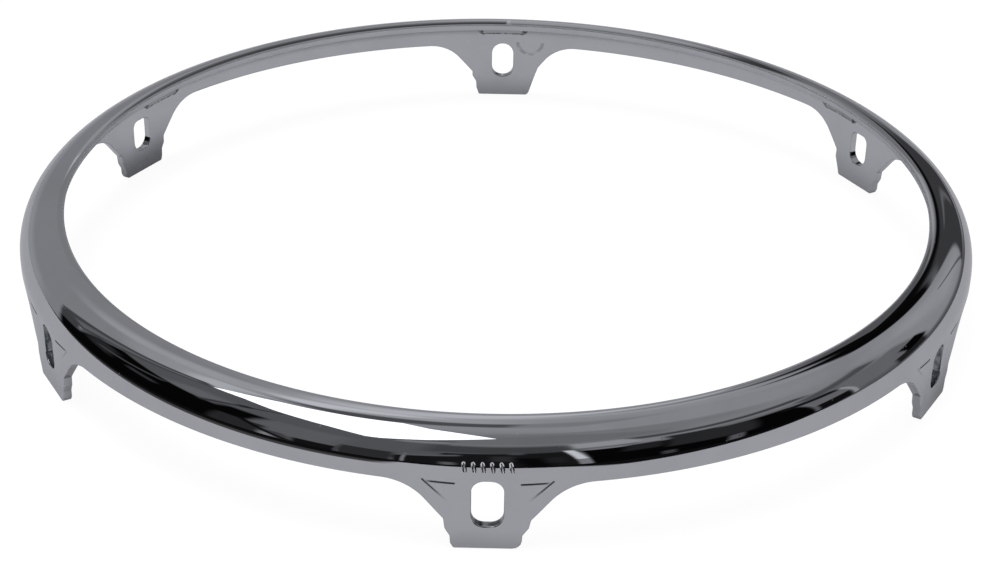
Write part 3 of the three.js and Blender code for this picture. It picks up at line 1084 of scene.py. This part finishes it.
# Each card: left and right azimuth, bottom and top elevation, feather, grey, and lean and rise if any.
CARDS = (
    # ceiling, and the pale sweep behind the hoop
    (-20, 104, 54, 100, 8, 114), (96, 215, 48, 84, 8, 132), (-34, 60, 56, 82, 6, 104),
    (-182, -145, 36, 56, 5, 148), (-176, -158, 44.5, 52.5, 2.5, 184, 0, 0.75), (150, 179, 34, 50, 4, 136),
    (-200, -183, 56, 70, 3, 118), (-183, -146, 57, 69, 2.5, 72), (-150, -112, 44, 60, 4, 140),
    (-146, -116, 53, 59.5, 2, 165), (158, 187, -5, 10, 4, 141), (171, 183, 13, 38, 3, 148),
    (178.6, 185, 16, 38, 2.5, 176, 0.33, 0), (-174, -122, -8, 9, 5, 138),
    # left: panel, curtain and dark stand
    (-107, -12, 6, 64, 1.5, 80), (-88, -73, 33, 47, 4, 94), (-56, -34, 10, 40, 4, 89),
    (-27, -12, 53, 59, 2.5, 118, 0, 0.25), (-118.5, -106, 19, 56, 1, 64),
    (-112.7, -104, -3, 20, 1, 60, -0.49, 0), (-114, -109.5, 22, 54, 1, 92),
    (-107.5, -105, 16, 36, 0.6, 88), (-106, -57, -4, 33, 1.2, 5, 0, -0.12),
    (-112, -98, -4, 13, 1.5, 6, -0.2, 0.5), (-106, -97, 15, 29, 2.5, 36, -0.3, 0),
    (-101, -84, 24, 27, 0.8, 62, 0, 0.62), (-90, -81, 17, 21, 1.5, 50), (-69, -56.5, 16, 39.5, 2.2, 5),
    (-73.5, -71, 30, 58, 1, 48), (-75, -70.5, 46.5, 50.5, 1.2, 34, 0, -0.5),
    (-63, -50.5, -5, 21, 1.5, 38), (-48, -43, -4, 14, 1.5, 60, -0.3, 0),
    (-52.4, -49.6, 0, 24, 0.9, 12, -0.62, 0),
    # front left: low dark panels with bright seams
    (-43, -33, -8, 12, 1.2, 18), (-33, -21, -8, 20.5, 1, 42), (-21, -8, -8, 21, 1.2, 20, 0, 0.3),
    (-33.6, -32.8, -5, 15, 0.35, 62), (-19, -18.2, -6, 22, 0.35, 112),
    # front
    (-16, 22, 32, 53, 4, 62), (-12, 20, -8, 34, 2, 22, 0, 0.15), (-21, -7, 19.5, 23.5, 1.2, 86, 0, 0.7),
    (4, 7.5, 31, 38, 1.2, 68), (0, 5, 13, 27, 1.5, 42), (6, 12, -3, 22, 2, 8, -0.1, 0),
    (12, 16, 8, 22, 1.5, 30), (-10.5, -7.5, -6, 7, 1.2, 84),
    # right: black curtain with a bright upright strip and a lit patch
    (21, 74, -8, 35, 1, 5), (18.2, 21, -5, 39, 0.6, 118, -0.045, 0),
    (18, 20.4, 14, 38, 0.7, 190, -0.045, 0), (41, 63, 13, 42, 2, 38, 0.25, -0.35),
    (31, 40, 22, 37, 2, 32, 0.25, 0), (36.5, 39.5, 0, 8, 1, 60), (52, 55.5, 0, 11, 1, 82, 0.1, 0),
    (21.5, 38, 38, 46, 2, 98, 0.5, 0), (21.8, 40, 42, 54, 1.5, 140, 0.15, 0),
    (40, 86, 43, 49, 2.5, 60, 0, -0.27), (58, 90, 31.5, 37, 2, 104, 0, -0.33),
    # far right: grey wall, low cabinet and a dark seat
    (74, 112, -2, 30, 1.5, 98), (86, 142, -5, 4, 4, 84), (74.5, 84.5, -4, 11, 1, 14),
    (70, 85, 23.5, 29.5, 1.5, 18, 0, -0.4), (78, 107, 30, 37, 2, 74, 0, 0.12),
    (84.8, 86.2, 0, 23, 0.5, 140),
    # back right: light wall, dark cloth and a black block
    (112, 152, 4, 44, 3, 131), (124, 142, 12, 38, 6, 142), (137.2, 138.4, -1, 26, 0.5, 82),
    (99.5, 110.8, -1, 9, 1, 30), (104, 112.4, 7.5, 18.5, 0.8, 4, 0, 0.15),
    (150, 175.5, 13, 29.5, 3.5, 103, 0.2, 0), (144.2, 163.8, 2.5, 29, 1.2, 54, 0.6, 0),
    (155.3, 156.8, 8, 25, 0.8, 92, 0.6, 0), (151, 166, 29.5, 41.5, 1.5, 6, 0, -0.1),
    (163, 173.6, 26, 33, 1.5, 8, 0, -0.7),
)
print("cards:", len(CARDS))

# %% Hang the cards
def shown(tree, others, camera):
    """One shader for the camera's own rays and another for all other rays."""
    seen = put(tree, "LightPath").outputs["Is Camera Ray"]
    return put(tree, "MixShader", {0: seen, 1: others.outputs[0], 2: camera.outputs[0]}).outputs[0]


world = bpy.data.worlds.new("studio_room")
bpy.context.scene.world = world
world.use_nodes = True
tree = world.node_tree
tree.nodes.clear()
x, y, z = parts_of(put(tree, "TexCoord").outputs["Generated"])
azimuth = maths("DEGREES", maths("ARCTAN2", x, times(y, -1.0)))
elevation = maths("DEGREES", maths("ARCSINE", z))
room = tone(ROOM_GREY)
for left, right, bottom, top, feather, grey, *slant in CARDS:
    lean, rise = slant or (0, 0)
    room = place_group(tree, room_card, {
        "Azimuth": azimuth, "Elevation": elevation,
        "Centre azimuth": (left + right) / 2, "Centre elevation": (bottom + top) / 2,
        "Half width": (right - left) / 2, "Half height": (top - bottom) / 2,
        "Feather": feather, "Lean": lean, "Rise": rise, "Tone": tone(grey), "Room": room})["Room"]
surround = put(tree, "Background", {"Color": (0.985, 0.99, 1.0, 1), "Strength": room})
white = put(tree, "Background", {"Color": (1, 1, 1, 1)})
put(tree, "OutputWorld", {"Surface": shown(tree, surround, white)})
print("world nodes:", len(tree.nodes))

# %% [markdown]
# The floor is a pale paper sheet. The chrome shows it as it is lit, so it holds the soft shadow round
# the lugs, and beyond its edges the chrome shows the dark ground that the sheet lies on. To the camera
# it is nearly white by its own glow, with only a breath of that shadow left.

# %% Floor
FLOOR_SIZE, FLOOR_Z = 8, -0.0002
bpy.ops.object.select_all(action="DESELECT")
bpy.ops.mesh.primitive_plane_add(size=FLOOR_SIZE, location=(0, 0, FLOOR_Z))
floor = bpy.context.active_object
floor.name = floor.data.name = "paper_floor"


def empty_material(name):
    """A material without nodes, and its tree."""
    material = bpy.data.materials.new(name)
    material.use_nodes = True
    material.node_tree.nodes.clear()
    return material, material.node_tree


paper, tree = empty_material("pale_paper")
x, y = parts_of(object_point(tree))[:2]


def past(across, onwards, distance, feather):
    """A mask, 1 past a straight edge: its direction is given by two shares, its distance in metres."""
    reach = maths("MULTIPLY_ADD", x, across, times(y, onwards))
    return ramp(reach, distance - feather, distance + feather)


# %% Paper
SHEET, TABLE_LEFT, TABLE_RIGHT = (0.475, 0.475, 0.48, 1), (0.075, 0.07, 0.066, 1), (0.125, 0.125, 0.13, 1)
BLACK, NEAR_BLACK = (0, 0, 0, 1), (0.006, 0.006, 0.006, 1)
SHEET_GLOW, CAMERA_GLOW, CAMERA_SHADE = 0.52, 0.95, (0.06, 0.06, 0.06, 1)
front_edge = past(0.0, -1.0, 0.50, 0.03)
right_edge = times(past(0.0, -1.0, 0.30, 0.012), past(1.0, 0.0, 0.105, 0.02))
left_edge = times(past(-0.515, -0.857, 0.277, 0.008), past(-0.960, 0.279, 0.0, 0.012))
deep_left = times(left_edge, past(-0.515, -0.857, 0.36, 0.06))
sheet_colour = blend_colour(left_edge, SHEET, TABLE_LEFT)
sheet_colour = blend_colour(past(1.0, 0.0, 0.62, 0.10), sheet_colour, TABLE_RIGHT)
for edge in (deep_left, right_edge, front_edge):
    sheet_colour = blend_colour(edge, sheet_colour, NEAR_BLACK)


def lit_and_glowing(lit_colour, glow):
    """A sheet that takes light and gives some of its own; the glow is an Emission node's inputs."""
    lit, own = put(tree, "BsdfDiffuse", {"Color": lit_colour}), put(tree, "Emission", glow)
    return put(tree, "AddShader", {0: lit.outputs[0], 1: own.outputs[0]})


lit_colour = blend_colour(SHEET_GLOW, sheet_colour, BLACK)
mirrored = lit_and_glowing(lit_colour, {"Color": sheet_colour, "Strength": SHEET_GLOW})
near_white = lit_and_glowing(CAMERA_SHADE, {"Strength": CAMERA_GLOW})
put(tree, "OutputMaterial", {"Surface": shown(tree, mirrored, near_white)})
dress(floor, paper)
print("floor:", [round(side, 1) for side in floor.dimensions], "m")

# %% [markdown]
# One large soft box hangs high on the left. Its cloth is what chrome shows as the white flash on the
# front of the crown, so its outline is drawn with care. A plain area lamp at the same place gives its
# light to the floor, and stays out of the mirror so that the flash keeps a clean edge.

# %% Soft box
SOFTBOX_HEIGHT, SOFTBOX_GLOW = 4000, 2.2
SOFTBOX_CORNERS = ((-2630, 720), (-1480, 1350), (-600, 1120), (-480, 310), (40, -1210), (-770, -2070),
                   (-1630, -2680), (-1890, -2670), (-2050, -1610), (-2360, -530), (-2390, 280))
LAMP_SIDE, LAMP_WATTS, LAMP_PLACE = 2.6, 170.0, (-0.5, -0.1, 3.95)


def glowing(name):
    """A material that only gives light, and its Emission node."""
    material, tree = empty_material(name)
    lit = put(tree, "Emission")
    put(tree, "OutputMaterial", {"Surface": lit.outputs[0]})
    return material, lit


softbox = draw_outline("softbox", [(x, y, SOFTBOX_HEIGHT) for x, y in SOFTBOX_CORNERS])
finish_editing(softbox)
softbox.visible_camera = False
cloth, lit = glowing("softbox_cloth")
lit.inputs["Strength"].default_value = SOFTBOX_GLOW
dress(softbox, cloth)
lamp_data = bpy.data.lights.new("softbox_lamp", "AREA")
lamp_data.shape, lamp_data.size, lamp_data.energy = "SQUARE", LAMP_SIDE, LAMP_WATTS
lamp = bpy.data.objects.new("softbox_lamp", lamp_data)
bpy.context.collection.objects.link(lamp)
lamp.location = LAMP_PLACE
lamp.visible_glossy = lamp.visible_camera = False

# %% [markdown]
# Flags are the dark cloths that a photographer hangs to put dark lines into bright metal. Two flat ones
# slope up behind the hoop, high over the floor and out of the camera's sight. The far side of the crown
# mirrors them as the soft dark line along its inner half, while the near side sees them edge-on and
# hardly shows them. They are pale with a dark soft-edged stripe, which is laid out by the height in
# degrees at which the far lip sees it. Two small curved ones at the sides darken the near side's lip.

# %% Hang a flag
LIP_TOP_R, LIP_TOP_Z = 162.2, 39.6
SLOPE, SHEET_NEAR, SHEET_FAR = 0.2, 112.0, 580.0
SIDE_FLAG_R, SIDE_FLAG_THICK, SIDE_FLAG_BOTTOM, SIDE_FLAG_STEPS = 187.0, 1, 84.5, 32


def hang(flag, material):
    finish_editing(flag)
    flag.visible_camera = flag.visible_diffuse = flag.visible_shadow = False
    dress(flag, material)


def sloping_flag(name, left, right):
    """A flat sheet in a plane that goes through the front of the near lip."""
    spots = ((left, SHEET_NEAR), (right, SHEET_NEAR), (right, SHEET_FAR), (left, SHEET_FAR))
    return draw_outline(name, [(x, y, LIP_TOP_Z + SLOPE * (y + LIP_TOP_R)) for x, y in spots])


def curved_flag(name, start, degrees, top):
    """A thin wall round the hoop's axis, from one angle on through some degrees."""
    inner = on_span(SIDE_FLAG_R, start, 0)[:2]
    outer = on_span(SIDE_FLAG_R + SIDE_FLAG_THICK, start, 0)[:2]
    corners = ((inner, SIDE_FLAG_BOTTOM), (inner, top), (outer, top), (outer, SIDE_FLAG_BOTTOM))
    flag = draw_outline(name, [(*spot, z) for spot, z in corners])
    drop_face()
    spin(SIDE_FLAG_STEPS, degrees)
    return flag


# %% Felt for the flags
PALE_NEAR, PALE_FADE = 148, (41, 75)
STRIPE_CORE, SIDE_PALE, SIDE_FADE = 2.0, 146, 6


def striped_felt(name, below, above, middle, tones, span, fade, far_pale):
    """The stripe's reach below and above its middle in degrees; the middle's height near the back and
    far from it, each with its angle from the back; the stripe's tones near and far, with the angles
    between which they change; the angles between which it fades; and the flag's own tone far off."""
    material, lit = glowing(name)
    x, y, z = parts_of(object_point(material.node_tree))
    share = maths("MINIMUM", maths("DIVIDE", maths("ABSOLUTE", x), LIP_TOP_R * MM), 1.0)
    turned = maths("ARCSINE", share)
    behind, over = less(y, times(maths("COSINE", turned), LIP_TOP_R * MM)), less(z, LIP_TOP_Z * MM)
    seen_at = maths("DEGREES", maths("ARCTAN2", over, behind))
    from_back = maths("DEGREES", turned)
    near_height, near_angle, far_height, far_angle = middle
    off = less(seen_at, ramp(from_back, near_angle, far_angle, near_height, far_height))
    stripe = times(ramp(off, -below, -STRIPE_CORE), ramp(off, above, STRIPE_CORE),
                   ramp(from_back, fade[1], fade[0]))
    dark = ramp(from_back, *span, tone(tones[0]), tone(tones[1]))
    pale = ramp(from_back, *PALE_FADE, tone(PALE_NEAR), tone(far_pale))
    feed(lit.inputs["Color"], plus_shares(pale, (stripe, less(dark, pale))))
    return material


def side_felt(name, tones, span, pale_below):
    """Two tones along a side flag, with the angles between which they change, and its paler lower part."""
    material, lit = glowing(name)
    spot = place_group(material.node_tree, hoop_map)
    turned = maths("DIVIDE", maths("ABSOLUTE", spot["Along"]), CROWN_CENTRE_R * MM)
    dark = ramp(less(180.0, maths("DEGREES", turned)), *span, tone(tones[0]), tone(tones[1]))
    upper = ramp(spot["Height"], pale_below * MM, (pale_below + SIDE_FADE) * MM)
    feed(lit.inputs["Color"], plus_shares(tone(SIDE_PALE), (upper, less(dark, tone(SIDE_PALE)))))
    return material


# %% Flags
hang(sloping_flag("flag_left", -172.0, 0.9),
     striped_felt("left_felt", 27, 13.5, (46.2, 5, 38.0, 55), (62, 76), (41, 66), (62, 80), 140))
hang(sloping_flag("flag_right", 2.7, 172.0),
     striped_felt("right_felt", 21, 9, (54, 22, 22, 64), (100, 52), (9, 47), (50, 73), 108))
hang(curved_flag("side_flag_left", 200.0, 47, 112), side_felt("left_side_felt", (128, 118), (20, 40), 70))
hang(curved_flag("side_flag_right", 119.5, 31.5, 150), side_felt("right_side_felt", (116, 80), (30, 46), 96))

# %% [markdown]
# The camera stands in front of the hoop and looks down on it, as in the photograph.

# %% Camera
EYE, TARGET = Vector((5.24, -684.19, 374.84)), Vector((1.68, 0.01, -5.77))
ROLL, LENS, SENSOR = 1.069, 72.693, 36
camera_data = bpy.data.cameras.new("photo_view")
camera = bpy.data.objects.new("photo_view", camera_data)
bpy.context.collection.objects.link(camera)
eye, target = EYE * MM, TARGET * MM
roll = Quaternion((0, 0, 1), math.radians(ROLL))
camera.location = eye
camera.rotation_euler = ((target - eye).to_track_quat("-Z", "Y") @ roll).to_euler()
camera_data.sensor_width = SENSOR
camera_data.lens = LENS
bpy.context.scene.camera = camera
bpy.context.scene.view_settings.view_transform = "Standard"
print("camera:", [round(v, 3) for v in camera.location], "m")
